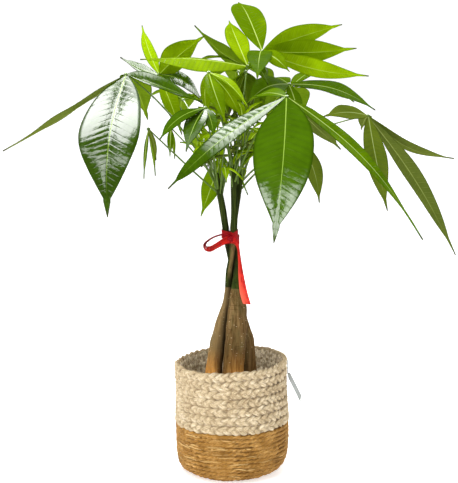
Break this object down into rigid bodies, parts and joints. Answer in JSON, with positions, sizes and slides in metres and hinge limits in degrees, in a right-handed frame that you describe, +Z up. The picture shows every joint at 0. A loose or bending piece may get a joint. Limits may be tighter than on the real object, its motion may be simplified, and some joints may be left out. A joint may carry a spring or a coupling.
{
  "type": "potted money tree",
  "caption": "Money tree with wound trunks tied by a red ribbon, palmate leaves on long stalks, in a pot of soil inside a two-tone woven basket.",
  "frame": {"origin": "centre of the flat foot of the basket, on the surface it stands on", "axes": "+Z up along the trunks, -Y towards the front of the plant, +X to the right as seen from the front"},
  "size_m": [0.5352, 0.4286, 0.5761],
  "materials": {
    "pale_weave": "matt plaited plant fibre",
    "golden_weave": "matt twisted plant fibre",
    "pot_plastic": "matt thin plastic",
    "soil": "crumbly damp soil",
    "bark": "smooth bark with pale specks, green above",
    "red_satin": "satin ribbon",
    "white_card": "plain card",
    "leaf": "glossy leaf blade with a pale midrib"
  },
  "bodies": {
    "root": {"basket_upper": "pale_weave", "basket_lower": "golden_weave", "nursery_pot": "pot_plastic", "soil": "soil", "trunk_left": "bark", "trunk_middle": "bark", "trunk_right": "bark", "ribbon": "red_satin", "blank_tag": "white_card", "leaf_left_front": "leaf", "leaf_left_up": "leaf", "leaf_upper_left": "leaf", "leaf_top": "leaf", "leaf_right_front": "leaf", "leaf_right": "leaf", "leaf_upper_right": "leaf", "leaf_young_front": "leaf", "leaf_front_left": "leaf", "leaf_small_left": "leaf", "leaf_small_middle": "leaf", "leaf_low_left": "leaf", "leaf_low_right": "leaf", "leaf_back_left": "leaf", "leaf_back_middle": "leaf", "leaf_back_right": "leaf", "leaf_back_low": "leaf", "leaf_back_low_left": "leaf"}
  },
  "joints": []
}
